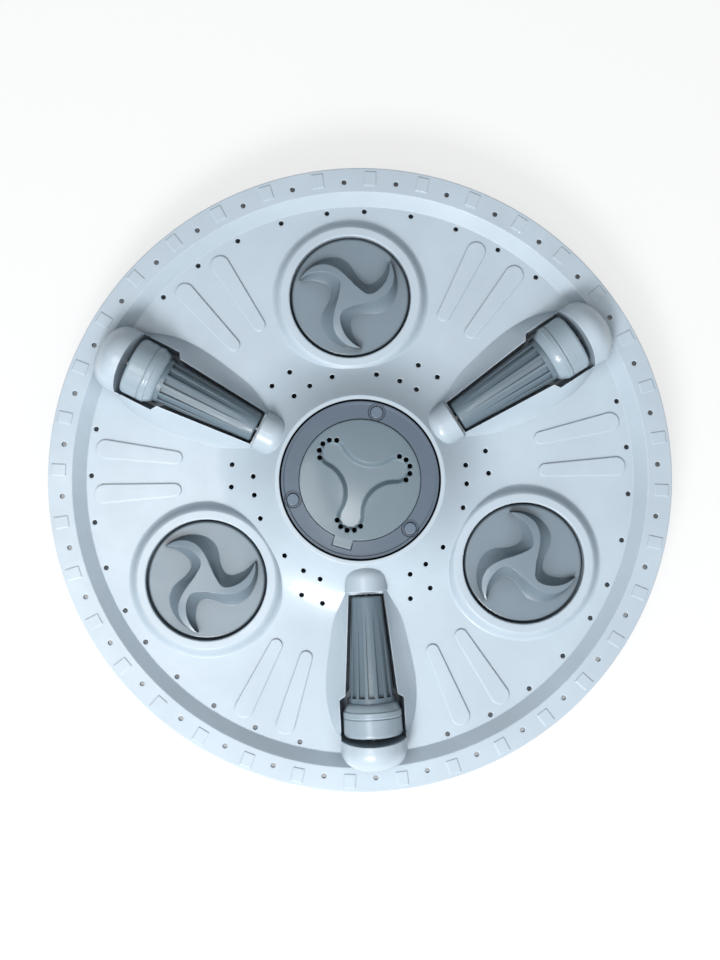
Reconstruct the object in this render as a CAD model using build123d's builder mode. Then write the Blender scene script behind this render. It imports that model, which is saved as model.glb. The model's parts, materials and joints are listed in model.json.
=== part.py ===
"""Pulsator of a top loading washing machine, seen from the tub: a moulded plate with a ribbed
underside, three turning swirl discs, three turning fluted rollers and a centre cap.

The frame is +Z up (the washing face), with the origin on the drive axis at the lower face of the
hub, which is also the face that the pulsator stands on. Lengths are in millimetres and angles in
degrees.
"""

import os
from math import cos, radians, sin, tan

from build123d import *

os.makedirs("parts", exist_ok=True)

# Driving dimensions of the plate
overall_radius = 190.0
wall = 2.5
plate_top = 34.0
rim_rise = 6.0
rim_width = 14.5
rim_slope = 7.5
lip_depth = 11.0
centre_rise = 15.5
centre_rise_radius = 94.0
centre_lip_radius = 51.0

# Rings, ribs and pads of the underside
hub_radius = 18.0
ring_wall = 2.4
inner_ring_radius = 29.3
cap_wall_radius = 50.0
drain_ring_radius = 76.2
outer_ring_radius = 175.5
thin_rib = 1.5
rib_overrun = 2.0
rib_knee_radius = 153.0
rib_knee_height = 20.0
outer_ring_drop = 7.0
minor_rib_height = 14.5
pad_radius = 2.2
pad_height = 12.0
pad_ring_circle = 48.8
drain_pad_offsets = [-30, 30]
hub_rib_reach = 22.4
main_rib_angles = [15 + 30 * step for step in range(12)]
hub_rib_angles = [45 + 60 * step for step in range(6)]
disc_rib_offsets = [-34.6, -22.7, -7.0, 7.0, 22.7, 34.6]
roller_rib_offsets = [-4.0, 4.0]

# Where the moving pieces stand
sector_end = 63.4
disc_angles = [90, 210, 330]
roller_angles = [30, 150, 270]

minor_rib_angles = [angle + offset for angle in disc_angles for offset in disc_rib_offsets]
minor_rib_angles += [angle + offset for angle in roller_angles for offset in roller_rib_offsets]

# Holes, raised panels and raised marks of the plate
small_hole_radius = 1.5
rim_hole_circle = 181.5
rim_hole_angles = [10 * step for step in range(36)]
edge_hole_circle = 165.0
edge_hole_offsets = [-44, -34, -24, -14, -4, 4, 14, 24, 34, 44]
outer_drain_circle = 79.0
outer_drain_offsets = [-40, -30, 30, 40]
inner_drain_circle = 65.0
inner_drain_offsets = [-35, -25, -12, 0, 12, 25, 35]
panel_offsets = [-40, -30, 30, 40]
panel_start = 110.0
panel_end = 163.0
panel_half_angle = 2.0
panel_rise = 0.9
rim_mark_angles = [5 + 10 * step for step in range(36)]
rim_mark_circle = 183.6
rim_mark_length = 7.0
rim_mark_width = 8.5
rim_mark_rise = 0.35

# Centre: deck, cap, ring and metal insert
deck_top = 42.0
cap_radius = 36.5
cap_ring_width = 10.7
cap_gap = 0.4
ring_gap = 0.8
cap_ring_height = 5.2
cap_ring_edge = 1.6
cap_crown = 1.3
cap_tab_angle = 251.5
cap_tab_width = 11.4
cap_tab_reach = 42.0
lobe_angle = 12.5
lobe_circle = 23.0
lobe_radius = 8.8
lobe_waist = 11.2
lobe_depth = 2.0
lobe_slope = 2.8
lobe_hole_pitch = 31.5
lobe_hole_circle = 8.2
cap_edge_lift = 0.8
cap_thickness = 3.0
cap_skirt = 2.0
ring_web = 2.0
ring_edge_rise = 0.7
ring_boss_rise = 1.0
ring_boss_angle = 73.0
ring_boss_circle = 42.0
ring_boss_radius = 3.7
peg_circle = 33.5
peg_radius = 3.25
peg_end = 30.0
slot_angles = [30 + 60 * step for step in range(6)]
slot_width = 8.5
slot_reach = 42.0
insert_radius = 15.6
insert_height = 26.0
insert_recess = 0.5
insert_gap = 0.05
spline_radius = 6.5
spline_depth = 16.5
spline_teeth = 11
spline_tooth_depth = 0.9
spline_tooth_width = 1.9
spline_flank_angle = 70
insert_edge_break = 0.8
screw_radius = 3.25
screw_well_radius = 12.0

# Swirl discs
disc_circle = 111.8
disc_radius = 36.0
disc_gap = 1.0
mound_rise = 6.0
edge_break = 0.6
mound_collar = 5.2
mound_foot = 12.0
well_floor = 21.0
well_draft = 1.5
well_hole_circle = 25.6
well_hole_radius = 3.2
boss_recess_radius = 14.5
boss_recess_depth = 6.0
boss_wall = 2.0
disc_wall = 2.4
disc_sink = 2.2
disc_skirt = 9.0
stem_radius = 8.5
stem_bore_radius = 5.9
stem_foot = 11.0
swirl_height = 8.0
swirl_dome_drop = 5.0
swirl_root = 0.6
swirl_waist_height = 3.2
swirl_waist_share = 0.62
swirl_phases = [39, 18, -18]
bush_foot = 7.5
bush_nose_radius = 11.5
bush_flange_radius = 13.5
bush_flange_height = 3.5
bush_nose_height = 3.5
bush_sleeve_radius = 12.6
bush_edge_break = 0.8
disc_shoulder_radius = 13.0
disc_edge_round = 1.5
running_gap = 0.05
end_gap = 0.3

# Rollers
roller_tilt = 4.0
roller_axis_height = 39.0
roller_axis_station = 70.0
barrel_start = 71.0
barrel_end = 134.5
barrel_thin_radius = 9.35
barrel_thick_radius = 13.8
barrel_edge_round = 1.2
neck_radius = 9.5
collar_start = 139.0
collar_end = 154.8
collar_radius = 17.7
collar_seam = 143.2
collar_cap = 2.5
collar_edge_round = 2.0
seam_width = 0.5
seam_depth = 0.4
flute_count = 14
flute_depth = 1.6
flute_start = 76.0
flute_end = 131.5
flute_width_thin = 2.4
flute_width_thick = 4.0
axle_radius = 2.5
axle_start = 57.0
axle_end = 163.0
axle_edge_break = 0.4
saddle_wall = 3.0
saddle_half_width = 7.5
saddle_bottom = 31.0
knob_radius = 1.6
pocket_slot_half = 15.0
opening_start = 69.3
opening_end = 157.2
opening_bulge = 1.6
opening_half_thin = 10.7
opening_half_thick = 15.75
opening_half_collar = 19.5
shoulder_station = 131.0
shoulder_length = 3.0
pocket_clearance = 5.0
pocket_draft = 2.4
pocket_wall = 2.0
pocket_slot_width = 4.0
pocket_hole_radius = 2.65
pocket_hole_stations = [76.5, 91.3, 112.3, 130.0]
ridge_root = 1.0
ridge_waist_drop = 3.0
crest_lift = 4.5
outer_dome_knee = 162.2
outer_dome_end = 176.3
outer_dome_radius = 20.2
inner_dome_knee = 60.0
inner_dome_end = 50.0
inner_dome_radius = 12.8
inner_dome_lip = 1.0
outer_dome_lip = 4.0

# Heights and radii worked out from the driving dimensions
rim_top = plate_top + rim_rise
lip_bottom = rim_top - lip_depth
rim_inner = overall_radius - rim_width
slope_foot = rim_inner - rim_slope
centre_top = plate_top + centre_rise
outer_ring_bottom = plate_top - outer_ring_drop
cap_wall_inner = cap_radius + cap_gap + cap_ring_width + ring_gap
mound_top = plate_top + mound_rise
well_radius = disc_radius + disc_gap
well_floor_top = well_floor + wall
collar_outer = well_radius + mound_collar
mound_outer = well_radius + mound_foot
boss_top = well_floor + boss_recess_depth
inner_dome_mouth = opening_start - inner_dome_lip
outer_dome_mouth = opening_end - outer_dome_lip
high = 90.0


def axis_height(station):
    """Height of the tilted roller axis at a distance from the drive axis."""
    return roller_axis_height + (station - roller_axis_station) * tan(radians(roller_tilt))


pocket_floor = axis_height(barrel_start) - barrel_thin_radius - pocket_clearance


def outward(angle, height=0.0):
    """Horizontal plane whose x axis points away from the drive axis."""
    direction = (cos(radians(angle)), sin(radians(angle)), 0)
    return Plane(origin=(0, 0, height), x_dir=direction, z_dir=(0, 0, 1))


def upright(angle):
    """Vertical plane through the drive axis: x points outward and y points up."""
    direction = (cos(radians(angle)), sin(radians(angle)), 0)
    return Plane(origin=(0, 0, 0), x_dir=direction, z_dir=(direction[1], -direction[0], 0))


def roller_plane(angle):
    """Frame of a roller: z runs outward along its tilted axis and x points up."""
    turn = radians(angle)
    tilt = radians(roller_tilt)
    along = (cos(tilt) * cos(turn), cos(tilt) * sin(turn), sin(tilt))
    up = (-sin(tilt) * cos(turn), -sin(tilt) * sin(turn), cos(tilt))
    return Plane(origin=(0, 0, axis_height(0)), x_dir=up, z_dir=along)


def disc_location(angle, phase=0.0):
    """Frame of a swirl disc on the disc circle, turned by its rest phase."""
    turn = radians(angle)
    return Location((disc_circle * cos(turn), disc_circle * sin(turn), 0), (0, 0, phase))


def on_plate(angle, radius, height=0.0):
    """Place at an angle and a distance from the drive axis, with its x axis pointing outward."""
    turn = radians(angle)
    return Location((radius * cos(turn), radius * sin(turn), height), (0, 0, angle))


def crest_plane(lift):
    """Plane parallel to the roller axes at angle 0, at a height above the axis."""
    tilt = radians(roller_tilt)
    return Plane(origin=(0, 0, axis_height(0) + lift), x_dir=(cos(tilt), 0, sin(tilt)),
                 z_dir=(-sin(tilt), 0, cos(tilt)))


def mirrored_loop(points):
    """Closed smooth loop through points that run from tip to tip, and their mirror images."""
    back = [(x, -y) for x, y in reversed(points[1:-1])]
    return Spline(points + back, periodic=True)


def ridge_form(inset, drop):
    """Raised ridge round one roller, along +X: a smooth loft from its foot to its crest."""
    ends = inset * 1.4
    foot = [(outer_dome_end - ends, 0), (170, 13 - inset), (160, 20.5 - inset), (145, 26.5 - inset),
            (124, 29 - inset), (95, 25.5 - inset), (68, 21.5 - inset), (54, 17 - inset), (47 + ends, 0)]
    middle = [(168 - ends, 0), (164, 10 - inset), (155, 18.5 - inset), (144, 22.5 - inset),
              (124, 21.5 - inset), (95, 18 - inset), (68, 15 - inset), (57, 11.5 - inset), (52 + ends, 0)]
    crest = [(163 - ends, 0), (159, 8.5 - inset), (152, 15.5 - inset), (142, 17.5 - inset),
             (124, 14.4 - inset), (95, 12 - inset), (68, 9.8 - inset), (60, 7 - inset), (56 + ends, 0)]
    with BuildPart() as ridge:
        with BuildSketch(Plane.XY.offset(plate_top - ridge_root - drop)):
            with BuildLine():
                mirrored_loop(foot)
            make_face()
        with BuildSketch(crest_plane(-ridge_waist_drop - drop)):
            with BuildLine():
                mirrored_loop(middle)
            make_face()
        with BuildSketch(crest_plane(crest_lift - drop)):
            with BuildLine():
                mirrored_loop(crest)
            make_face()
        loft()
    return ridge.part


def dome_form(start, knee, end, radius):
    """Round end of a roller housing, turned about the roller axis, in the roller frame."""
    direction = 1 if end > knee else -1
    with BuildPart() as dome:
        with BuildSketch(Plane.XZ):
            with BuildLine():
                Polyline((0, end), (0, start), (radius, start), (radius, knee))
                Spline((radius, knee), (0, end), tangents=((0, direction), (-1, 0)),
                       tangent_scalars=(1.3, 1.0))
            make_face()
        revolve(axis=Axis.Z)
    return dome.part


def opening_face(half_thin, half_thick, half_collar, start, end):
    """Outline of the opening over a roller, along +X, wider round the collar."""
    step = shoulder_station - shoulder_length / 2
    wide = step + shoulder_length
    corner = end - opening_bulge
    with BuildSketch() as outline:
        with BuildLine():
            Polyline((corner, -half_collar), (wide, -half_collar), (step, -half_thick),
                     (start, -half_thin), (start, half_thin), (step, half_thick),
                     (wide, half_collar), (corner, half_collar))
            ThreePointArc((corner, half_collar), (end, 0), (corner, -half_collar))
        make_face()
    return outline.sketch


def pocket_form(grow):
    """Drafted pocket under a roller, along +X: narrower at its floor than at its mouth."""
    draft = pocket_draft - grow
    with BuildPart() as pocket:
        with BuildSketch(Plane.XY.offset(pocket_floor - grow)):
            add(opening_face(opening_half_thin - draft, opening_half_thick - draft,
                             opening_half_collar - draft, opening_start - grow, opening_end + grow))
        with BuildSketch(Plane.XY.offset(roller_axis_height + pocket_draft)):
            add(opening_face(opening_half_thin + grow, opening_half_thick + grow,
                             opening_half_collar + grow, opening_start - grow, opening_end + grow))
        loft(ruled=True)
        extrude(pocket.faces().sort_by(Axis.Z)[-1], amount=high)
    return pocket.part


def mound_form(drop):
    """Raised mound round one swirl disc, turned about the disc axis."""
    foot = (mound_outer - drop, plate_top - drop - 0.2)
    collar = (collar_outer - drop / 2, mound_top - drop)
    with BuildPart() as mound:
        with BuildSketch(Plane.XZ):
            with BuildLine():
                Polyline(foot, (foot[0], well_floor), (0, well_floor), (0, collar[1]), collar)
                Spline(collar, foot, tangents=((1, -0.4), (1, -0.1)))
            make_face()
        revolve(axis=Axis.Z)
    return mound.part


def skin_line(drop):
    """Half section of the washing face, lowered by drop, from the rim slope to the centre lip."""
    Polyline((rim_inner + drop / 2, rim_top - drop), (slope_foot + drop / 2, plate_top - drop),
             (centre_rise_radius, plate_top - drop))
    Spline((centre_rise_radius, plate_top - drop), (centre_lip_radius, centre_top - drop),
           tangents=((-1, 0), (-1, 0.75)))


def panel_face(start, end):
    """Round-ended panel along +X that widens outward with its distance from the drive axis."""
    half_start = start * tan(radians(panel_half_angle))
    half_end = end * tan(radians(panel_half_angle))
    with BuildSketch() as outline:
        with Locations((start + half_start, 0)):
            Circle(half_start)
        with Locations((end - half_end, 0)):
            Circle(half_end)
        make_hull()
    return outline.sketch


def tube(outer_radius, inner_radius, bottom, top):
    """Upright ring wall about the drive axis, or a full cylinder with an inner radius of 0."""
    with BuildPart() as ring:
        with BuildSketch(Plane.XY.offset(bottom)):
            Circle(outer_radius)
            if inner_radius > 0:
                Circle(inner_radius, mode=Mode.SUBTRACT)
        extrude(amount=top - bottom)
    return ring.part


def rib(angle, start, flat_end, height):
    """Upright radial rib: its lower edge is flat up to flat_end, then rises outward over a knee."""
    end = outer_ring_radius + rib_overrun
    with BuildPart() as blade:
        with BuildSketch(upright(angle)):
            with BuildLine():
                Polyline((start, height), (flat_end, height), (rib_knee_radius, rib_knee_height),
                         (outer_ring_radius, outer_ring_bottom), (end, outer_ring_bottom + rib_overrun),
                         (end, high), (start, high), close=True)
            make_face()
        extrude(amount=thin_rib / 2, both=True)
    return blade.part


# The plate repeats three times round the drive axis, so one third of it is modelled: from the
# sector's start to its end, with one roller and one disc inside it
sector_start = sector_end - 120
roller_angle = roller_angles[0]
disc_angle = disc_angles[-1]
roller_turn = Location((0, 0, 0), (0, 0, roller_angle))
disc_place = disc_location(disc_angle)
inner_ring_inner = inner_ring_radius - ring_wall
cap_wall_skirt = cap_wall_radius - ring_wall
well_foot_radius = well_radius - well_draft
boss_ceiling = boss_top + wall
saddle_station = axle_start + saddle_wall / 2
slot_station = collar_start - pocket_slot_width


def in_sector(angles):
    """The angles of a pattern round the drive axis that fall inside the modelled third."""
    return [angle for angle in angles if 0 <= (angle - sector_start) % 360 < 120]


def around(discs, offsets):
    """Angles of a pattern that is given by its offsets from each disc."""
    return [angle + offset for angle in discs for offset in offsets]


# Raised panels and marks of the third, also used to hollow the panels from below
panel_outline = panel_face(panel_start, panel_end)

with BuildPart() as panels:
    with BuildSketch(Plane.XY.offset(plate_top - wall / 2)):
        with Locations([on_plate(angle, 0) for angle in in_sector(around(disc_angles, panel_offsets))]):
            add(panel_outline)
    extrude(amount=wall / 2 + panel_rise)

with BuildPart() as rim_marks:
    with BuildSketch(Plane.XY.offset(rim_top - wall / 2)):
        with Locations([on_plate(angle, rim_mark_circle) for angle in in_sector(rim_mark_angles)]):
            Rectangle(rim_mark_width, rim_mark_length)
    extrude(amount=wall / 2 + rim_mark_rise)

# Solid outer form of the third, before it is hollowed
with BuildPart() as outer_third:
    with BuildSketch(upright(sector_start)):
        with BuildLine():
            Polyline((rim_inner, rim_top), (overall_radius, rim_top), (overall_radius, lip_bottom),
                     (overall_radius - wall, lip_bottom), (overall_radius - wall, 0), (0, 0),
                     (0, deck_top), (cap_wall_inner, deck_top), (cap_wall_inner, centre_top),
                     (centre_lip_radius, centre_top))
            skin_line(0)
        make_face()
    revolve(axis=Axis.Z, revolution_arc=120)
    with Locations(roller_turn):
        add(ridge_form(0, 0))
    with Locations(roller_plane(roller_angle).location):
        add([dome_form(outer_dome_mouth, outer_dome_knee, outer_dome_end, outer_dome_radius),
             dome_form(inner_dome_mouth, inner_dome_knee, inner_dome_end, inner_dome_radius)])
    with Locations(disc_place):
        add(mound_form(0))
    add([panels.part, rim_marks.part])
    add(tube(cap_wall_inner, 0, deck_top, high), mode=Mode.SUBTRACT)

# Hollow under the skin, open below
with BuildPart() as hollow_third:
    with BuildSketch(upright(sector_start)):
        with BuildLine():
            Polyline((rim_inner + wall / 2, rim_top - wall), (overall_radius - wall, rim_top - wall),
                     (overall_radius - wall, -wall), (cap_wall_radius, -wall),
                     (cap_wall_radius, centre_top - wall), (centre_lip_radius, centre_top - wall))
            skin_line(wall)
        make_face()
    revolve(axis=Axis.Z, revolution_arc=120)
    with Locations(roller_turn):
        add(ridge_form(wall * 0.9, wall))
    with Locations(roller_plane(roller_angle).location):
        add([dome_form(outer_dome_mouth, outer_dome_knee - wall, outer_dome_end - wall,
                       outer_dome_radius - wall),
             dome_form(inner_dome_mouth, inner_dome_knee + wall / 2, inner_dome_end + wall / 2,
                       inner_dome_radius - wall)])
    with Locations(disc_place):
        add(mound_form(wall))
    with Locations((0, 0, -wall)):
        add(panels.part)
    add(tube(cap_wall_radius, 0, -wall, high), mode=Mode.SUBTRACT)
    with BuildSketch(upright(sector_start)):
        Polygon((cap_wall_skirt, -wall), (cap_wall_skirt, deck_top - wall),
                (inner_ring_radius, deck_top - wall), (inner_ring_radius, -wall), align=None)
        Polygon((inner_ring_inner, -wall), (inner_ring_inner, deck_top - wall),
                (hub_radius, deck_top - wall), (hub_radius, -wall), align=None)
    revolve(axis=Axis.Z, revolution_arc=120)

# Well of a swirl disc, and what is cut out of it
with BuildPart() as well:
    with BuildSketch(Plane.XZ):
        Polygon((0, well_floor), (well_foot_radius + wall * 0.8, well_floor),
                (well_radius + wall, mound_top - wall), (0, mound_top - wall), align=None)
    revolve(axis=Axis.Z)

with BuildPart() as well_cavity:
    with BuildSketch(Plane.XZ):
        Polygon((0, well_floor_top), (well_foot_radius, well_floor_top), (well_radius, mound_top - wall),
                (well_radius, mound_top - edge_break), (well_radius + 2 * edge_break, mound_top + edge_break),
                (0, mound_top + edge_break), align=None)
    revolve(axis=Axis.Z)
    with BuildSketch(Plane.XY.offset(well_floor_top)):
        Circle(boss_recess_radius + boss_wall)
    extrude(amount=boss_ceiling - well_floor_top, mode=Mode.SUBTRACT)
    with BuildSketch(Plane.XY.offset(-wall)):
        Circle(boss_recess_radius)
    extrude(amount=boss_top + wall)
    with BuildSketch(Plane.XY.offset(-wall)):
        Circle(stem_radius + running_gap)
        with PolarLocations(well_hole_circle, 6):
            Circle(well_hole_radius)
    extrude(amount=high)

# Bearing saddle of a roller's inner axle end, with two knobs below
with BuildPart() as saddle:
    with BuildSketch(Plane.XY.offset(saddle_bottom)):
        with Locations((saddle_station, 0)):
            Rectangle(saddle_wall, 2 * saddle_half_width)
    extrude(amount=high)
    with BuildSketch(Plane.XY.offset(saddle_bottom)):
        with Locations((saddle_station, 0)):
            Rectangle(2 * saddle_wall, 2 * (axle_radius + running_gap))
    extrude(amount=axis_height(saddle_station) - saddle_bottom, mode=Mode.SUBTRACT)
    with BuildSketch(Plane.XY.offset(saddle_bottom - knob_radius)):
        with Locations((saddle_station, saddle_half_width - knob_radius),
                       (saddle_station, knob_radius - saddle_half_width)):
            Circle(knob_radius)
    extrude(amount=high)

# Pocket of a roller, its drain holes, the gap before the collar and the axle's bore
with BuildPart() as pocket_cavity:
    add(pocket_form(0))
    with BuildSketch(Plane.XY.offset(pocket_floor - 2 * pocket_wall)):
        for station in pocket_hole_stations:
            with Locations((station, 0)):
                Circle(pocket_hole_radius)
        with Locations((slot_station + pocket_slot_width / 2, 0)):
            Rectangle(pocket_slot_width, 2 * pocket_slot_half)
    extrude(amount=4 * pocket_wall)

with BuildPart() as axle_bore:
    with BuildSketch(roller_plane(0).offset(axle_start)):
        Circle(axle_radius + running_gap)
    extrude(amount=axle_end - axle_start)

# Ribs, rings and pads
blades = [rib(angle, inner_ring_radius - 1, cap_wall_radius, 0) for angle in in_sector(main_rib_angles)]
blades += [rib(angle, drain_ring_radius - 1, drain_ring_radius, minor_rib_height)
           for angle in in_sector(minor_rib_angles)]
rings = [tube(drain_ring_radius, drain_ring_radius - thin_rib, minor_rib_height, high),
         tube(outer_ring_radius, outer_ring_radius - thin_rib, outer_ring_bottom, high)]

pad_rows = [(pad_ring_circle, 0, in_sector(main_rib_angles)),
            (rib_knee_radius, rib_knee_height, in_sector(main_rib_angles)),
            (rib_knee_radius, rib_knee_height, in_sector(around(roller_angles, roller_rib_offsets))),
            (drain_ring_radius - thin_rib / 2, minor_rib_height,
             in_sector(around(disc_angles, drain_pad_offsets)))]

with BuildPart() as underside_stubs:
    for circle, height, angles in pad_rows:
        with BuildSketch(Plane.XY.offset(height)):
            with Locations([on_plate(angle, circle) for angle in angles]):
                Circle(pad_radius)
        extrude(amount=pad_height)
    with BuildSketch(Plane.XY.offset(0)):
        for angle in in_sector(hub_rib_angles):
            with Locations(on_plate(angle, (hub_radius + hub_rib_reach) / 2 - thin_rib)):
                Rectangle(hub_rib_reach - hub_radius + 2 * thin_rib, thin_rib)
            with Locations(on_plate(angle, hub_rib_reach)):
                Circle(pad_radius)
    extrude(amount=high)

with BuildPart() as void_third:
    add(hollow_third.part)
    add(blades + rings + [underside_stubs.part], mode=Mode.SUBTRACT)
    with Locations(disc_place):
        add(well.part, mode=Mode.SUBTRACT)
    with Locations(roller_turn):
        add([pocket_form(pocket_wall), saddle.part], mode=Mode.SUBTRACT)

# Slots of the deck and small holes
hole_rows = [(rim_hole_circle, in_sector(rim_hole_angles)),
             (edge_hole_circle, in_sector(around(disc_angles, edge_hole_offsets))),
             (outer_drain_circle, in_sector(around(disc_angles, outer_drain_offsets))),
             (inner_drain_circle, in_sector(around(disc_angles, inner_drain_offsets)))]

with BuildPart() as third_cuts:
    with BuildSketch(Plane.XY.offset(outer_ring_bottom)):
        for circle, angles in hole_rows:
            with Locations([on_plate(angle, circle) for angle in angles]):
                Circle(small_hole_radius)
        with Locations([on_plate(angle, (inner_ring_radius + slot_reach) / 2)
                        for angle in in_sector(slot_angles)]):
            Rectangle(slot_reach - inner_ring_radius, slot_width)
    extrude(amount=high)

with BuildPart() as plate_third:
    add(outer_third.part)
    add(void_third.part, mode=Mode.SUBTRACT)
    with Locations(disc_place):
        add(well_cavity.part, mode=Mode.SUBTRACT)
    with Locations(roller_turn):
        add([pocket_cavity.part, axle_bore.part], mode=Mode.SUBTRACT)
    add(third_cuts.part, mode=Mode.SUBTRACT)

# Whole plate, with the bore of the metal insert and the well of the drive screw above it
with BuildPart() as pulsator_plate:
    with PolarLocations(0, 3):
        add(plate_third.part)
    add([tube(insert_radius + insert_gap, 0, -wall, insert_height),
         tube(screw_well_radius, 0, 0, high)], mode=Mode.SUBTRACT)
pulsator_plate.part.label = "pulsator_plate"
export_step(pulsator_plate.part, "parts/pulsator_plate.step")


# Metal insert with its splined socket and screw hole
with BuildPart() as spline_insert:
    with BuildSketch(Plane.XY.offset(insert_recess)):
        Circle(insert_radius)
    extrude(amount=insert_height - insert_recess)
    with BuildSketch(Plane.XY.offset(insert_recess)):
        Circle(spline_radius)
        with PolarLocations(spline_radius, spline_teeth):
            Trapezoid(spline_tooth_width, 2 * spline_tooth_depth, spline_flank_angle, rotation=90,
                      mode=Mode.SUBTRACT)
    extrude(amount=spline_depth, mode=Mode.SUBTRACT)
    with BuildSketch(Plane.XY.offset(insert_recess)):
        Circle(screw_radius)
    extrude(amount=insert_height, mode=Mode.SUBTRACT)
    rims = spline_insert.edges().filter_by(GeomType.CIRCLE).sort_by(SortBy.RADIUS)[-2:]
    chamfer(rims, length=insert_edge_break)
spline_insert.part.label = "spline_insert"
export_step(spline_insert.part, "parts/spline_insert.step")


def lobe_face(end_radius, waist):
    """Three-lobed outline: round lobe ends joined by tangent hollow arcs with the given waist."""
    far = (lobe_circle ** 2 - (end_radius - waist) ** 2) / (lobe_circle + 2 * (end_radius - waist))
    hollow = far - waist
    share = end_radius / (end_radius + hollow)
    half_turn = radians(60)
    with BuildSketch() as outline:
        with BuildLine():
            for lobe in range(3):
                middle = radians(lobe_angle + 120 * lobe)
                centre = Vector(lobe_circle * cos(middle), lobe_circle * sin(middle))
                touch = [centre + (Vector(far * cos(middle + side * half_turn),
                                          far * sin(middle + side * half_turn)) - centre) * share
                         for side in (-1, 1)]
                tip = centre * ((lobe_circle + end_radius) / lobe_circle)
                ThreePointArc(touch[0], tip, touch[1])
                valley = Vector(waist * cos(middle + half_turn), waist * sin(middle + half_turn))
                across = radians(lobe_angle + 120 * (lobe + 1))
                next_centre = Vector(lobe_circle * cos(across), lobe_circle * sin(across))
                far_centre = Vector(far * cos(middle + half_turn), far * sin(middle + half_turn))
                ThreePointArc(touch[1], valley, next_centre + (far_centre - next_centre) * share)
        make_face()
    return outline.sketch


# Centre cap: crowned disc with skirt, tab, pegs and a drained three-lobed recess
cap_edge_top = deck_top + cap_ring_height + cap_edge_lift
cap_under = cap_edge_top - cap_thickness
lobe_floor = cap_edge_top + cap_crown - lobe_depth - cap_crown / 2

with BuildPart() as centre_cap:
    with BuildSketch(Plane.XZ):
        with BuildLine():
            Polyline((0, cap_under), (cap_radius - cap_skirt, cap_under), (cap_radius - cap_skirt, deck_top),
                     (cap_radius, deck_top), (cap_radius, cap_edge_top))
            Spline((cap_radius, cap_edge_top), (0, cap_edge_top + cap_crown), tangents=((-1, 0.09), (-1, 0)))
            Line((0, cap_edge_top + cap_crown), (0, cap_under))
        make_face()
    revolve(axis=Axis.Z)
    with BuildSketch(outward(cap_tab_angle, cap_under)):
        with Locations(((cap_radius + cap_tab_reach) / 2 - 1, 0)):
            Rectangle(cap_tab_reach - cap_radius + 2, cap_tab_width)
    extrude(amount=cap_thickness)
    with BuildSketch(Plane.XY.offset(peg_end)):
        with PolarLocations(peg_circle, 3, start_angle=roller_angles[0]):
            Circle(peg_radius)
    extrude(amount=cap_under + cap_thickness / 2 - peg_end)
    with BuildSketch(Plane.XY.offset(lobe_floor)):
        add(lobe_face(lobe_radius - lobe_slope, lobe_waist - lobe_slope))
    with BuildSketch(Plane.XY.offset(cap_edge_top + cap_crown)):
        add(lobe_face(lobe_radius, lobe_waist))
    loft(ruled=True, mode=Mode.SUBTRACT)
    with BuildSketch(Plane.XY.offset(deck_top)):
        for lobe in range(3):
            with Locations(on_plate(lobe_angle + 120 * lobe, lobe_circle)):
                with Locations([on_plate(hole * lobe_hole_pitch, lobe_hole_circle) for hole in range(-2, 3)]):
                    Circle(small_hole_radius)
    extrude(amount=high, mode=Mode.SUBTRACT)
centre_cap.part.label = "centre_cap"
export_step(centre_cap.part, "parts/centre_cap.step")

# Ring round the cap, with a raised edge, three bosses and a notch for the tab
ring_inner = cap_radius + cap_gap
ring_outer = ring_inner + cap_ring_width
ring_floor = deck_top + cap_ring_height

with BuildPart() as cap_ring:
    with BuildSketch(Plane.XZ):
        Polygon((ring_inner, deck_top), (ring_inner + ring_web, deck_top),
                (ring_inner + ring_web, ring_floor - ring_web),
                (ring_outer - ring_web, ring_floor - ring_web), (ring_outer - ring_web, deck_top),
                (ring_outer, deck_top), (ring_outer, ring_floor + ring_edge_rise),
                (ring_outer - cap_ring_edge, ring_floor + ring_edge_rise),
                (ring_outer - cap_ring_edge, ring_floor), (ring_inner, ring_floor), align=None)
    revolve(axis=Axis.Z)
    with BuildSketch(Plane.XY.offset(ring_floor - ring_web)):
        with PolarLocations(ring_boss_circle, 3, start_angle=ring_boss_angle):
            Circle(ring_boss_radius)
    extrude(amount=ring_web + ring_boss_rise)
    fillet(cap_ring.edges().filter_by(GeomType.CIRCLE).group_by(Axis.Z)[-1], radius=ring_boss_rise * 0.6)
    with BuildSketch(outward(cap_tab_angle, cap_under - cap_gap)):
        with Locations(((cap_radius + cap_tab_reach) / 2, 0)):
            Rectangle(cap_tab_reach - cap_radius + 2 * cap_gap, cap_tab_width + 2 * cap_gap)
    extrude(amount=high, mode=Mode.SUBTRACT)
cap_ring.part.label = "cap_ring"
export_step(cap_ring.part, "parts/cap_ring.step")


def swirl_face(share):
    """Outline of the three-armed swirl, from its foot (share 0) to its crest (share 1).

    Both outlines are given for one arm, clockwise from its tip, as angle and radius.
    """
    foot = [(0, 32.6), (-20, 31.2), (-39, 29), (-55, 26.8), (-69, 23), (-80, 18), (-97, 13),
            (-112, 12.3), (-124, 14), (-127, 19), (-125, 24), (-121.5, 29)]
    crest = [(0, 32), (-14, 29.4), (-26, 26), (-37, 21.5), (-48, 16), (-64, 10.5), (-88, 7.3),
             (-113, 6.6), (-140, 7.6), (-160, 11), (-151, 18.5), (-136, 26)]
    blend = []
    for (foot_turn, foot_radius), (crest_turn, crest_radius) in zip(foot, crest):
        low = Vector(foot_radius, 0).rotate(Axis.Z, foot_turn)
        top = Vector(crest_radius, 0).rotate(Axis.Z, crest_turn)
        blend.append(low + (top - low) * share)
    with BuildSketch() as outline:
        with BuildLine():
            for arm in range(3):
                turned = [point.rotate(Axis.Z, -120 * arm) for point in blend]
                last = blend[0].rotate(Axis.Z, -120 * (arm + 1))
                Spline(turned + [last])
        make_face()
    return outline.sketch


# Swirl disc, in its own frame on the disc axis with one arm's tip along +X
disc_top = mound_top - disc_sink
disc_under = disc_top - disc_wall

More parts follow.
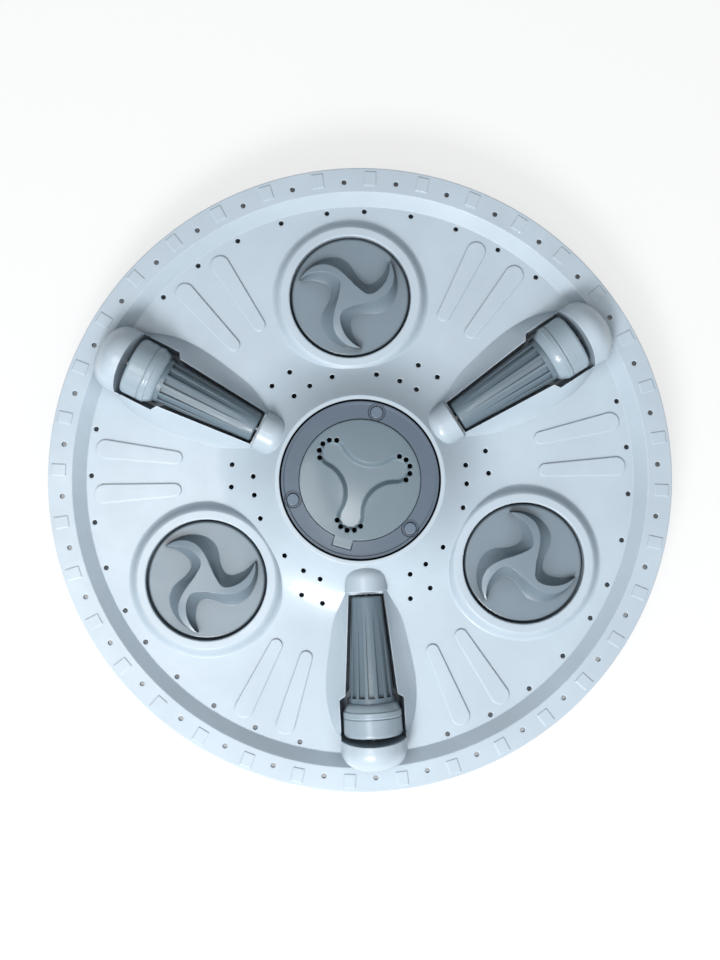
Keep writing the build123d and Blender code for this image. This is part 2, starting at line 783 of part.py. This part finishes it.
with BuildPart() as swirl_boss:
    with BuildSketch(Plane.XY.offset(disc_top - swirl_root)):
        add(swirl_face(0))
    with BuildSketch(Plane.XY.offset(disc_top + swirl_waist_height)):
        add(swirl_face(swirl_waist_share))
    with BuildSketch(Plane.XY.offset(disc_top + swirl_height)):
        add(swirl_face(1))
    loft()
    with BuildSketch(Plane.XZ):
        with BuildLine():
            crown = (0, disc_top + swirl_height - 0.3)
            edge = (disc_radius, disc_top + swirl_height - swirl_dome_drop)
            Polyline(edge, (disc_radius, disc_under), (0, disc_under), crown)
            Spline(crown, edge, tangents=((1, 0), (1, -0.45)))
        make_face()
    revolve(axis=Axis.Z, mode=Mode.INTERSECT)

with BuildPart() as disc_form:
    with BuildSketch(Plane.XZ):
        Polygon((0, stem_foot), (stem_radius, stem_foot), (stem_radius, boss_ceiling + end_gap),
                (disc_shoulder_radius, boss_ceiling + end_gap), (disc_shoulder_radius, disc_under),
                (disc_radius - disc_wall, disc_under), (disc_radius - disc_wall, disc_top - disc_skirt),
                (disc_radius, disc_top - disc_skirt), (disc_radius, disc_top), (0, disc_top), align=None)
    revolve(axis=Axis.Z)
    fillet(disc_form.edges().filter_by(GeomType.CIRCLE).group_by(Axis.Z)[-1], radius=disc_edge_round)
    add(swirl_boss.part)
    with BuildSketch(Plane.XY.offset(stem_foot)):
        Circle(stem_bore_radius)
    extrude(amount=disc_under - stem_foot, mode=Mode.SUBTRACT)

# Bush below the disc, round the foot of its stem
with BuildPart() as bush_form:
    flange_bottom = bush_foot + bush_nose_height
    sleeve_bottom = flange_bottom + bush_flange_height
    with BuildSketch(Plane.XZ):
        Polygon((stem_bore_radius, bush_foot), (bush_nose_radius, bush_foot),
                (bush_nose_radius, flange_bottom),
                (bush_flange_radius, flange_bottom), (bush_flange_radius, sleeve_bottom),
                (bush_sleeve_radius, sleeve_bottom), (bush_sleeve_radius, boss_top - end_gap),
                (stem_radius, boss_top - end_gap), (stem_radius, stem_foot), (stem_bore_radius, stem_foot),
                align=None)
    revolve(axis=Axis.Z)
    rims = bush_form.edges().filter_by(GeomType.CIRCLE).group_by(Axis.Z)[0]
    chamfer(rims, length=bush_edge_break)

for number, (angle, phase) in enumerate(zip(disc_angles, swirl_phases), start=1):
    with BuildPart() as swirl_disc:
        with Locations(disc_location(angle, phase)):
            add(disc_form.part)
    swirl_disc.part.label = f"swirl_disc_{number}"
    export_step(swirl_disc.part, f"parts/swirl_disc_{number}.step")
    with BuildPart() as disc_bush:
        with Locations(disc_location(angle)):
            add(bush_form.part)
    disc_bush.part.label = f"disc_bush_{number}"
    export_step(disc_bush.part, f"parts/disc_bush_{number}.step")

# Fluted barrel with its neck and spigot, in the roller frame
taper = (barrel_thick_radius - barrel_thin_radius) / (barrel_end - barrel_start)


def barrel_radius(station):
    """Radius of the barrel's cone at a distance along the roller axis."""
    return barrel_thin_radius + taper * (station - barrel_start)


with BuildPart() as flute:
    bottom_start = Vector(barrel_radius(flute_start), 0, flute_start)
    bottom_end = Vector(barrel_radius(flute_end) - flute_depth, 0, flute_end)
    run = (bottom_end - bottom_start).length
    outside = (bottom_end - bottom_start).cross(Vector(0, 1, 0)) * -1
    if outside.X < 0:
        outside = outside * -1
    with BuildSketch(Plane(origin=bottom_start, x_dir=bottom_end - bottom_start, z_dir=outside)):
        Polygon((0, -flute_width_thin / 2), (run, -flute_width_thick / 2), (run, flute_width_thick / 2),
                (0, flute_width_thin / 2), align=None)
    extrude(amount=2 * flute_depth)

with BuildPart() as barrel_form:
    with BuildSketch(Plane.XZ):
        Polygon((0, barrel_start), (barrel_thin_radius, barrel_start), (barrel_thick_radius, barrel_end),
                (neck_radius, barrel_end), (neck_radius, collar_end - collar_cap),
                (0, collar_end - collar_cap), align=None)
    revolve(axis=Axis.Z)
    rims = barrel_form.edges().filter_by(GeomType.CIRCLE).group_by(Axis.Z)[0]
    fillet(rims, radius=barrel_edge_round)
    with PolarLocations(0, flute_count):
        add(flute.part, mode=Mode.SUBTRACT)
    with BuildSketch(Plane.XY.offset(barrel_start)):
        Circle(axle_radius + running_gap)
    extrude(amount=collar_end - barrel_start, mode=Mode.SUBTRACT)

# Smooth collar pressed on the spigot
with BuildPart() as collar_form:
    with BuildSketch(Plane.XZ):
        Polygon((neck_radius, collar_start), (collar_radius, collar_start),
                (collar_radius, collar_seam), (collar_radius - seam_depth, collar_seam),
                (collar_radius - seam_depth, collar_seam + seam_width),
                (collar_radius, collar_seam + seam_width),
                (collar_radius, collar_end), (axle_radius + running_gap, collar_end),
                (axle_radius + running_gap, collar_end - collar_cap), (neck_radius, collar_end - collar_cap),
                align=None)
    revolve(axis=Axis.Z)
    rims = collar_form.edges().filter_by(GeomType.CIRCLE)
    fillet([edge for edge in rims.group_by(Axis.Z)[-1] if edge.radius > neck_radius],
           radius=collar_edge_round)
    fillet([edge for edge in collar_form.edges().filter_by(GeomType.CIRCLE).group_by(Axis.Z)[0]
            if edge.radius > neck_radius + 1], radius=barrel_edge_round)

with BuildPart() as axle_form:
    with BuildSketch(Plane.XY.offset(axle_start)):
        Circle(axle_radius)
    extrude(amount=axle_end - axle_start)
    chamfer(axle_form.edges().filter_by(GeomType.CIRCLE), length=axle_edge_break)

for number, angle in enumerate(roller_angles, start=1):
    for name, form in (("roller_barrel", barrel_form), ("roller_collar", collar_form),
                       ("roller_axle", axle_form)):
        with BuildPart() as piece:
            with Locations(roller_plane(angle).location):
                add(form.part)
        piece.part.label = f"{name}_{number}"
        export_step(piece.part, f"parts/{name}_{number}.step")
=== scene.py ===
"""Looks of the washing machine pulsator: finishes, small surface detail, floor, light and camera.

Everything is in metres, in the frame of the solids: +Z is the washing face, and the origin lies on
the drive axis at the hub's lower face.
"""

import json
from math import cos, hypot, pi, radians, sin

import bpy
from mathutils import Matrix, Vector


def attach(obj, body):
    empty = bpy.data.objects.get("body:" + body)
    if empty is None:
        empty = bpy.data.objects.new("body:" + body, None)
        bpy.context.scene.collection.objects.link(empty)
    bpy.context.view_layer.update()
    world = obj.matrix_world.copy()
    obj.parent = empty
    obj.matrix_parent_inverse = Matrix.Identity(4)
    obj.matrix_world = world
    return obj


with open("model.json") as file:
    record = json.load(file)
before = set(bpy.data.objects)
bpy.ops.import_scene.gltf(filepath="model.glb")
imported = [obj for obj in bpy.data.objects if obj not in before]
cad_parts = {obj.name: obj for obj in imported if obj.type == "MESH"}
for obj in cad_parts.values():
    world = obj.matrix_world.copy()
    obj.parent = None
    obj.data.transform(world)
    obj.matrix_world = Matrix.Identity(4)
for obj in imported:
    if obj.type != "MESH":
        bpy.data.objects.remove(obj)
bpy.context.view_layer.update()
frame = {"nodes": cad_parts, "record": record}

# View of the photograph: straight above the drive axis, turned a little about it
IMAGE_WIDTH = 720
CAMERA_TURN = -3.07
OVERALL_RADIUS = 0.190
RIM_TOP = 0.040
RIM_RADIUS_PIXELS = 312
CAMERA_DISTANCE = 0.66
SENSOR_WIDTH = 36.0

# Deck under the cap and its ring: painted shade, dark from just below its top, out to the edge of the
# ring's seat
DECK_TOP = 0.042
DECK_LEVELS = (DECK_TOP - 0.0008, DECK_TOP - 0.0004)
DECK_PAINTED_SHADE = (0.012, 0.013, 0.015)
SEAT_RADIUS = 0.0484
SEAT_EDGE = (SEAT_RADIUS + 0.0001, SEAT_RADIUS + 0.0005)

# Bosses of the ring with their pockets; the pocket's darker tint is painted shade and the boss's paler
# tint a painted highlight
BOSSES = 3
BOSS_ANGLE = 73.0
BOSS_CIRCLE = 0.042
BOSS_RADIUS = 0.0037
BOSS_EDGE = 0.0002
BOSS_HIGHLIGHT_TINT = 1.30
POCKET_RADIUS = 0.0050
POCKET_EDGE = 0.0004
POCKET_DEPTH = 0.0009
POCKET_SHADE_TINT = 0.70

# Shoulder of a roller: distances along its axis and radii, from the barrel's end to the collar's seam
SHOULDER_STEPS = 96
SHOULDER_PROFILE = [(0.1338, 0.0120), (0.1346, 0.0137), (0.1350, 0.0146), (0.1358, 0.0154),
                    (0.1372, 0.01625), (0.1388, 0.01695), (0.1404, 0.01745), (0.1416, 0.0177),
                    (0.1424, 0.01785), (0.1430, 0.01772), (0.1431, 0.0168)]

# Colours of the pieces, as linear values
PLATE_COLOUR = (0.475, 0.565, 0.640)
RING_COLOUR = (0.083, 0.120, 0.168)
CAP_COLOUR = (0.148, 0.206, 0.246)
DISC_COLOUR = (0.190, 0.250, 0.300)
BARREL_COLOUR = (0.145, 0.200, 0.243)
COLLAR_COLOUR = (0.325, 0.408, 0.470)
BUSH_COLOUR = (0.45, 0.50, 0.43)
INSERT_COLOUR = (0.34, 0.38, 0.41)
AXLE_COLOUR = (0.16, 0.165, 0.17)

# Detail of every finish: sizes of its noise, ranges of the noise that show, and tints of the colour
PLASTIC_IOR = 1.47
COAT_ROUGHNESS = 0.12
MOTTLE_SCALE = 22.0
MOTTLE_RANGE = (0.35, 0.65)
MOTTLE_TINTS = (0.955, 1.035)
FLOW_SCALE = 75.0
STREAK_RANGE = (0.42, 0.70)
STREAK_SHARE = 0.30
STREAK_TINT = 0.93
GRAIN_SCALE = 900.0
GRAIN_DEPTH = 0.00012
GRIT_RANGE = (0.50, 0.62)
GRIT_TINT = 1.9
# Edges: a painted highlight, lighter colour where the rounded normal parts from the true one
EDGE_SAMPLES = 6
EDGE_AGREEMENT = (0.99, 0.80)
EDGE_HIGHLIGHT_SHARE = 0.75
# Hollows: painted shade, colour darkened where occlusion finds the surface closed in
HOLLOW_SHADE_SAMPLES = 8
HOLLOW_SHADE_OPENNESS = (0.95, 0.45)
HOLLOW_SHADE_TINT = 0.25
GLOSS_RANGE = (0.3, 0.7)
GLOSS_SPREAD = (-0.05, 0.07)
SINK_STRENGTH = 0.10
SINK_DEPTH = 0.0006

# Floor: grey paint under the part, a painted shadow, with a pale glow that starts just outside the rim
FLOOR_HALF_WIDTH = 30.0
FLOOR_COLOUR = (0.86, 0.87, 0.88)
FLOOR_SHADE = (0.40, 0.41, 0.42)
FLOOR_SHADE_EDGE = (1.025 * OVERALL_RADIUS, 1.06 * OVERALL_RADIUS)
FLOOR_GLOW = 0.72

# Lamps: place, side length and power, all aimed at one point of the part
LAMP_AIM = (0, 0, 0.03)
LAMPS = {
    "key_light": ((-0.30, -0.80, 1.00), 0.40, 13.0),
    "ceiling_lamp": ((-0.035, -0.066, 1.50), 0.06, 0.45),
    "left_window": ((-0.65, -0.20, 2.30), 0.70, 7.5),
}

# Sky: direction of its brightest part, and how its strength rises towards that direction
SKY_TINT = (0.96, 0.98, 1.0)
SKY_AXIS = (-0.06, -0.42, 0.905)
SKY_RANGE = (0.45, 0.98)
SKY_STRENGTH = (0.03, 1.10)


def linked(tree, source, target):
    """Link two sockets of a material."""
    tree.links.new(source, target)


def node(tree, kind, **settings):
    """New node with its settings and unlinked inputs, given by attribute or input name."""
    made = tree.nodes.new(kind)
    for name, value in settings.items():
        if name in made.inputs:
            made.inputs[name].default_value = value
        else:
            setattr(made, name, value)
    return made


def mixed(tree, share, first, second):
    """Colour between two colours or sockets, by a share that comes from a socket."""
    mix = tree.nodes.new("ShaderNodeMix")
    mix.data_type = "RGBA"
    linked(tree, share, mix.inputs[0])
    for place, value in ((6, first), (7, second)):
        if isinstance(value, tuple):
            mix.inputs[place].default_value = (*value, 1)
        else:
            linked(tree, value, mix.inputs[place])
    return mix.outputs[2]


def remapped(tree, value, low, high, new_low, new_high):
    """Value of a socket moved from one range to another, held inside it."""
    remap = tree.nodes.new("ShaderNodeMapRange")
    linked(tree, value, remap.inputs[0])
    for place, number in enumerate((low, high, new_low, new_high), start=1):
        remap.inputs[place].default_value = number
    return remap.outputs[0]


def scaled(colour, factor):
    """Colour made lighter or darker."""
    return tuple(min(1.0, part * factor) for part in colour)


def moulding(name, colour, roughness=0.36, grain=0.12, edge_highlight_gain=1.25, edge_radius=0.0007, coat=0.15,
             metallic=0.0, speckle=0.0, hollow_shade=0.0, hollow_shade_reach=0.010):
    """Moulded finish: soft mottling, fine grain, edges lightened as a painted highlight, an uneven gloss
    and painted shade that darkens the colour in hollows."""
    material = bpy.data.materials.new(name)
    material.use_nodes = True
    tree = material.node_tree
    tree.nodes.clear()
    output = node(tree, "ShaderNodeOutputMaterial")
    shader = node(tree, "ShaderNodeBsdfPrincipled")
    linked(tree, shader.outputs[0], output.inputs[0])
    shader.inputs["Metallic"].default_value = metallic
    shader.inputs["IOR"].default_value = PLASTIC_IOR
    shader.inputs["Coat Weight"].default_value = coat
    shader.inputs["Coat Roughness"].default_value = COAT_ROUGHNESS

    place = node(tree, "ShaderNodeTexCoord")
    mottle = node(tree, "ShaderNodeTexNoise", Scale=MOTTLE_SCALE, Detail=3.0, Roughness=0.55)
    fine = node(tree, "ShaderNodeTexNoise", Scale=GRAIN_SCALE, Detail=2.0, Roughness=0.6)
    flow = node(tree, "ShaderNodeTexNoise", Scale=FLOW_SCALE, Detail=4.0, Roughness=0.65)
    for texture in (mottle, fine, flow):
        linked(tree, place.outputs["Object"], texture.inputs["Vector"])

    cloud = remapped(tree, mottle.outputs["Fac"], *MOTTLE_RANGE, 0.0, 1.0)
    base = mixed(tree, cloud, scaled(colour, MOTTLE_TINTS[0]), scaled(colour, MOTTLE_TINTS[1]))
    streak = remapped(tree, flow.outputs["Fac"], *STREAK_RANGE, 0.0, STREAK_SHARE)
    base = mixed(tree, streak, base, scaled(colour, STREAK_TINT))
    if speckle:
        grit = remapped(tree, fine.outputs["Fac"], *GRIT_RANGE, 0.0, speckle)
        base = mixed(tree, grit, base, scaled(colour, GRIT_TINT))

    rounding = node(tree, "ShaderNodeBevel", samples=EDGE_SAMPLES, Radius=edge_radius)
    geometry = node(tree, "ShaderNodeNewGeometry")
    agreement = node(tree, "ShaderNodeVectorMath", operation="DOT_PRODUCT")
    linked(tree, rounding.outputs[0], agreement.inputs[0])
    linked(tree, geometry.outputs["Normal"], agreement.inputs[1])
    # Painted highlight: the colour of edges is lightened
    edge = remapped(tree, agreement.outputs["Value"], *EDGE_AGREEMENT, 0.0, EDGE_HIGHLIGHT_SHARE)
    base = mixed(tree, edge, base, scaled(colour, edge_highlight_gain))
    # Painted shade: colour darkened in hollows by ambient occlusion
    if hollow_shade:
        shelter = node(tree, "ShaderNodeAmbientOcclusion", samples=HOLLOW_SHADE_SAMPLES, Distance=hollow_shade_reach)
        painted_shade = remapped(tree, shelter.outputs["AO"], *HOLLOW_SHADE_OPENNESS, 0.0, hollow_shade)
        base = mixed(tree, painted_shade, base, scaled(colour, HOLLOW_SHADE_TINT))
    linked(tree, base, shader.inputs["Base Color"])

    rough_range = [roughness + change for change in GLOSS_SPREAD]
    gloss = remapped(tree, flow.outputs["Fac"], *GLOSS_RANGE, *rough_range)
    linked(tree, gloss, shader.inputs["Roughness"])

    sink = node(tree, "ShaderNodeBump", Strength=SINK_STRENGTH, Distance=SINK_DEPTH)
    linked(tree, mottle.outputs["Fac"], sink.inputs["Height"])
    linked(tree, rounding.outputs[0], sink.inputs["Normal"])
    skin = node(tree, "ShaderNodeBump", Strength=grain, Distance=GRAIN_DEPTH)
    linked(tree, fine.outputs["Fac"], skin.inputs["Height"])
    linked(tree, sink.outputs[0], skin.inputs["Normal"])
    linked(tree, skin.outputs[0], shader.inputs["Normal"])
    return material


def nearness(tree, centre, near, far):
    """Share that falls from 1 to 0 with the distance from an upright axis through centre."""
    place = node(tree, "ShaderNodeTexCoord")
    flat = node(tree, "ShaderNodeVectorMath", operation="MULTIPLY_ADD")
    linked(tree, place.outputs["Object"], flat.inputs[0])
    flat.inputs[1].default_value = (1, 1, 0)
    flat.inputs[2].default_value = (-centre[0], -centre[1], 0)
    reach = node(tree, "ShaderNodeVectorMath", operation="LENGTH")
    linked(tree, flat.outputs[0], reach.inputs[0])
    return remapped(tree, reach.outputs["Value"], near, far, 1.0, 0.0)


def combined(tree, first, second, operation="MULTIPLY"):
    """Result of a calculation with two sockets."""
    made = node(tree, "ShaderNodeMath", operation=operation)
    linked(tree, first, made.inputs[0])
    linked(tree, second, made.inputs[1])
    return made.outputs[0]


def tinted(material, share, colour):
    """Give a finish another colour where the share is 1."""
    tree = material.node_tree
    shader = next(item for item in tree.nodes if item.type == "BSDF_PRINCIPLED")
    base = shader.inputs["Base Color"].links[0].from_socket
    linked(tree, mixed(tree, share, base, colour), shader.inputs["Base Color"])


def paint_deck_shade(material):
    """Painted shade: a dark diffuse replaces the plate's finish on the deck under the cap,
    where only drain holes and the ring's gap show it.
    """
    tree = material.node_tree
    place = node(tree, "ShaderNodeTexCoord")
    parts = node(tree, "ShaderNodeSeparateXYZ")
    linked(tree, place.outputs["Object"], parts.inputs[0])
    level = remapped(tree, parts.outputs["Z"], *DECK_LEVELS, 0.0, 1.0)
    under_cap = nearness(tree, (0, 0), *SEAT_EDGE)
    output = next(item for item in tree.nodes if item.type == "OUTPUT_MATERIAL")
    finish = output.inputs[0].links[0].from_socket
    shade = node(tree, "ShaderNodeBsdfDiffuse", Color=(*DECK_PAINTED_SHADE, 1))
    mix = node(tree, "ShaderNodeMixShader")
    linked(tree, combined(tree, level, under_cap), mix.inputs[0])
    linked(tree, finish, mix.inputs[1])
    linked(tree, shade.outputs[0], mix.inputs[2])
    linked(tree, mix.outputs[0], output.inputs[0])


def sink_boss_pockets(material):
    """Shallow pocket round each boss of the ring, tinted darker as painted shade, with the boss a little
    paler as a painted highlight.
    """
    tree = material.node_tree
    shader = next(item for item in tree.nodes if item.type == "BSDF_PRINCIPLED")
    inside, boss = None, None
    for step in range(BOSSES):
        turn = radians(BOSS_ANGLE) + 2 * pi * step / BOSSES
        centre = (BOSS_CIRCLE * cos(turn), BOSS_CIRCLE * sin(turn))
        wide = nearness(tree, centre, POCKET_RADIUS, POCKET_RADIUS + POCKET_EDGE)
        narrow = nearness(tree, centre, BOSS_RADIUS, BOSS_RADIUS + BOSS_EDGE)
        inside = wide if inside is None else combined(tree, inside, wide, "MAXIMUM")
        boss = narrow if boss is None else combined(tree, boss, narrow, "MAXIMUM")
    pocket = combined(tree, inside, boss, "SUBTRACT")
    sunk = node(tree, "ShaderNodeBump", invert=True, Strength=1.0, Distance=POCKET_DEPTH)
    linked(tree, pocket, sunk.inputs["Height"])
    linked(tree, shader.inputs["Normal"].links[0].from_socket, sunk.inputs["Normal"])
    linked(tree, sunk.outputs[0], shader.inputs["Normal"])
    # Painted shade in the pockets and a painted highlight on the bosses
    tinted(material, pocket, scaled(RING_COLOUR, POCKET_SHADE_TINT))
    tinted(material, boss, scaled(RING_COLOUR, BOSS_HIGHLIGHT_TINT))


finishes = {
    "plate_plastic": moulding("pale_plate", PLATE_COLOUR, roughness=0.33, coat=0.35, edge_highlight_gain=1.38,
                              edge_radius=0.0011, hollow_shade=0.30, hollow_shade_reach=0.012),
    "ring_plastic": moulding("ring_grey", RING_COLOUR, roughness=0.38, coat=0.30),
    "cap_plastic": moulding("cap_grey", CAP_COLOUR, roughness=0.36, coat=0.45, edge_radius=0.0015),
    "disc_plastic": moulding("disc_grey", DISC_COLOUR, roughness=0.34, coat=0.35, hollow_shade=0.95,
                             hollow_shade_reach=0.015),
    "bush_plastic": moulding("bush_cream", BUSH_COLOUR, roughness=0.40),
    "collar_plastic": moulding("collar_grey", COLLAR_COLOUR, roughness=0.30, coat=0.3),
    "insert_metal": moulding("cast_insert", INSERT_COLOUR, roughness=0.52, grain=0.6, metallic=0.75,
                             coat=0.0, speckle=0.55),
    "axle_steel": moulding("pin_steel", AXLE_COLOUR, roughness=0.42, metallic=1.0, coat=0.0),
}
paint_deck_shade(finishes["plate_plastic"])
sink_boss_pockets(finishes["ring_plastic"])
barrel_finish = moulding("barrel_grey", BARREL_COLOUR, roughness=0.36, hollow_shade=0.60, hollow_shade_reach=0.003)

slot_of_node = {part["node"]: part["material_slot"] for part in frame["record"]["subparts"]}
for name, solid in frame["nodes"].items():
    finish = finishes[slot_of_node[name]]
    if name.startswith("roller_barrel"):
        finish = barrel_finish
    for slot in solid.material_slots:
        slot.material = finish


def add_floor():
    """Pale floor: whiter to the camera and in reflections beside the part, and it keeps the shadow;
    its paint is grey under the part, a painted shadow.
    """
    mesh = bpy.data.meshes.new("floor")
    half = FLOOR_HALF_WIDTH
    corners = [(-half, -half, 0), (half, -half, 0), (half, half, 0), (-half, half, 0)]
    mesh.from_pydata(corners, [], [(0, 1, 2, 3)])
    floor = bpy.data.objects.new("floor", mesh)
    bpy.context.scene.collection.objects.link(floor)
    material = bpy.data.materials.new("floor_paint")
    material.use_nodes = True
    tree = material.node_tree
    tree.nodes.clear()
    output = node(tree, "ShaderNodeOutputMaterial")
    paint = node(tree, "ShaderNodeBsdfDiffuse")
    glow = node(tree, "ShaderNodeEmission", Color=(1, 1, 1, 1), Strength=1.0)
    path = node(tree, "ShaderNodeLightPath")
    seen = combined(tree, path.outputs["Is Camera Ray"], path.outputs["Is Glossy Ray"], "MAXIMUM")
    seen = combined(tree, seen, path.outputs["Is Transmission Ray"], "MAXIMUM")
    place = node(tree, "ShaderNodeTexCoord")
    reach = node(tree, "ShaderNodeVectorMath", operation="LENGTH")
    linked(tree, place.outputs["Object"], reach.inputs[0])
    away = remapped(tree, reach.outputs["Value"], *FLOOR_SHADE_EDGE, 0.0, 1.0)
    # Painted shadow: grey paint under the part, pale beyond the rim
    linked(tree, mixed(tree, away, FLOOR_SHADE, FLOOR_COLOUR), paint.inputs["Color"])
    beside = remapped(tree, away, 0.0, 1.0, 0.0, FLOOR_GLOW)
    mix = node(tree, "ShaderNodeMixShader")
    linked(tree, combined(tree, seen, beside), mix.inputs[0])
    linked(tree, paint.outputs[0], mix.inputs[1])
    linked(tree, glow.outputs[0], mix.inputs[2])
    linked(tree, mix.outputs[0], output.inputs[0])
    mesh.materials.append(material)


def add_shoulder(number, joint):
    """Flared round shoulder that closes the groove between a roller's fluted barrel and its collar."""
    axis = Vector(joint["axis"]).normalized()
    middle = Vector(joint["pos_m"])
    start = middle - axis * (hypot(middle.x, middle.y) / hypot(axis.x, axis.y))
    up = Vector((0, 0, 1)).cross(axis).normalized()
    side = axis.cross(up)
    points = []
    for station, radius in SHOULDER_PROFILE:
        for step in range(SHOULDER_STEPS):
            turn = 2 * pi * step / SHOULDER_STEPS
            points.append(start + axis * station + (up * cos(turn) + side * sin(turn)) * radius)
    faces = []
    for row in range(len(SHOULDER_PROFILE) - 1):
        for step in range(SHOULDER_STEPS):
            near = row * SHOULDER_STEPS
            after = (step + 1) % SHOULDER_STEPS
            faces.append((near + step, near + after, near + SHOULDER_STEPS + after,
                          near + SHOULDER_STEPS + step))
    mesh = bpy.data.meshes.new(f"roller_shoulder_{number}")
    mesh.from_pydata(points, [], faces)
    for face in mesh.polygons:
        face.use_smooth = True
    mesh.materials.append(finishes["collar_plastic"])
    shoulder = bpy.data.objects.new(f"roller_shoulder_{number}", mesh)
    bpy.context.scene.collection.objects.link(shoulder)
    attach(shoulder, f"roller_{number}")


def add_softbox(name, place, size, power):
    """Square soft lamp that faces the part."""
    lamp = bpy.data.lights.new(name, "AREA")
    lamp.shape = "SQUARE"
    lamp.size = size
    lamp.energy = power
    light = bpy.data.objects.new(name, lamp)
    light.location = place
    light.rotation_euler = (Vector(LAMP_AIM) - Vector(place)).to_track_quat("-Z", "Y").to_euler()
    bpy.context.scene.collection.objects.link(light)


def add_world():
    """Soft pale sky, brightest overhead towards the key light and dim at the far horizon, and white
    to the camera."""
    world = bpy.data.worlds.new("studio")
    world.use_nodes = True
    tree = world.node_tree
    tree.nodes.clear()
    place = node(tree, "ShaderNodeTexCoord")
    height = node(tree, "ShaderNodeVectorMath", operation="DOT_PRODUCT")
    linked(tree, place.outputs["Generated"], height.inputs[0])
    height.inputs[1].default_value = SKY_AXIS
    glow = remapped(tree, height.outputs["Value"], *SKY_RANGE, *SKY_STRENGTH)
    sky = node(tree, "ShaderNodeBackground", Color=(*SKY_TINT, 1))
    linked(tree, glow, sky.inputs["Strength"])
    white = node(tree, "ShaderNodeBackground", Color=(1, 1, 1, 1), Strength=1.0)
    path = node(tree, "ShaderNodeLightPath")
    mix = node(tree, "ShaderNodeMixShader")
    linked(tree, path.outputs["Is Camera Ray"], mix.inputs[0])
    linked(tree, sky.outputs[0], mix.inputs[1])
    linked(tree, white.outputs[0], mix.inputs[2])
    output = node(tree, "ShaderNodeOutputWorld")
    linked(tree, mix.outputs[0], output.inputs[0])
    bpy.context.scene.world = world


def add_camera():
    """Camera straight above the drive axis, framed by the rim's radius in the image."""
    lens = bpy.data.cameras.new("camera")
    lens.sensor_fit = "HORIZONTAL"
    lens.sensor_width = SENSOR_WIDTH
    half_width = OVERALL_RADIUS * (IMAGE_WIDTH / 2) / RIM_RADIUS_PIXELS
    lens.lens = SENSOR_WIDTH / 2 * CAMERA_DISTANCE / half_width
    camera = bpy.data.objects.new("camera", lens)
    camera.location = (0, 0, RIM_TOP + CAMERA_DISTANCE)
    camera.rotation_euler = (0, 0, radians(CAMERA_TURN))
    bpy.context.scene.collection.objects.link(camera)
    bpy.context.scene.camera = camera


for joint in frame["record"]["behaviour"]["joints"]:
    if joint["name"].startswith("roller"):
        add_shoulder(joint["name"].split("_")[1], joint)
add_floor()
for name, (place, size, power) in LAMPS.items():
    add_softbox(name, place, size, power)
add_world()
add_camera()
bpy.context.scene.view_settings.view_transform = "Standard"
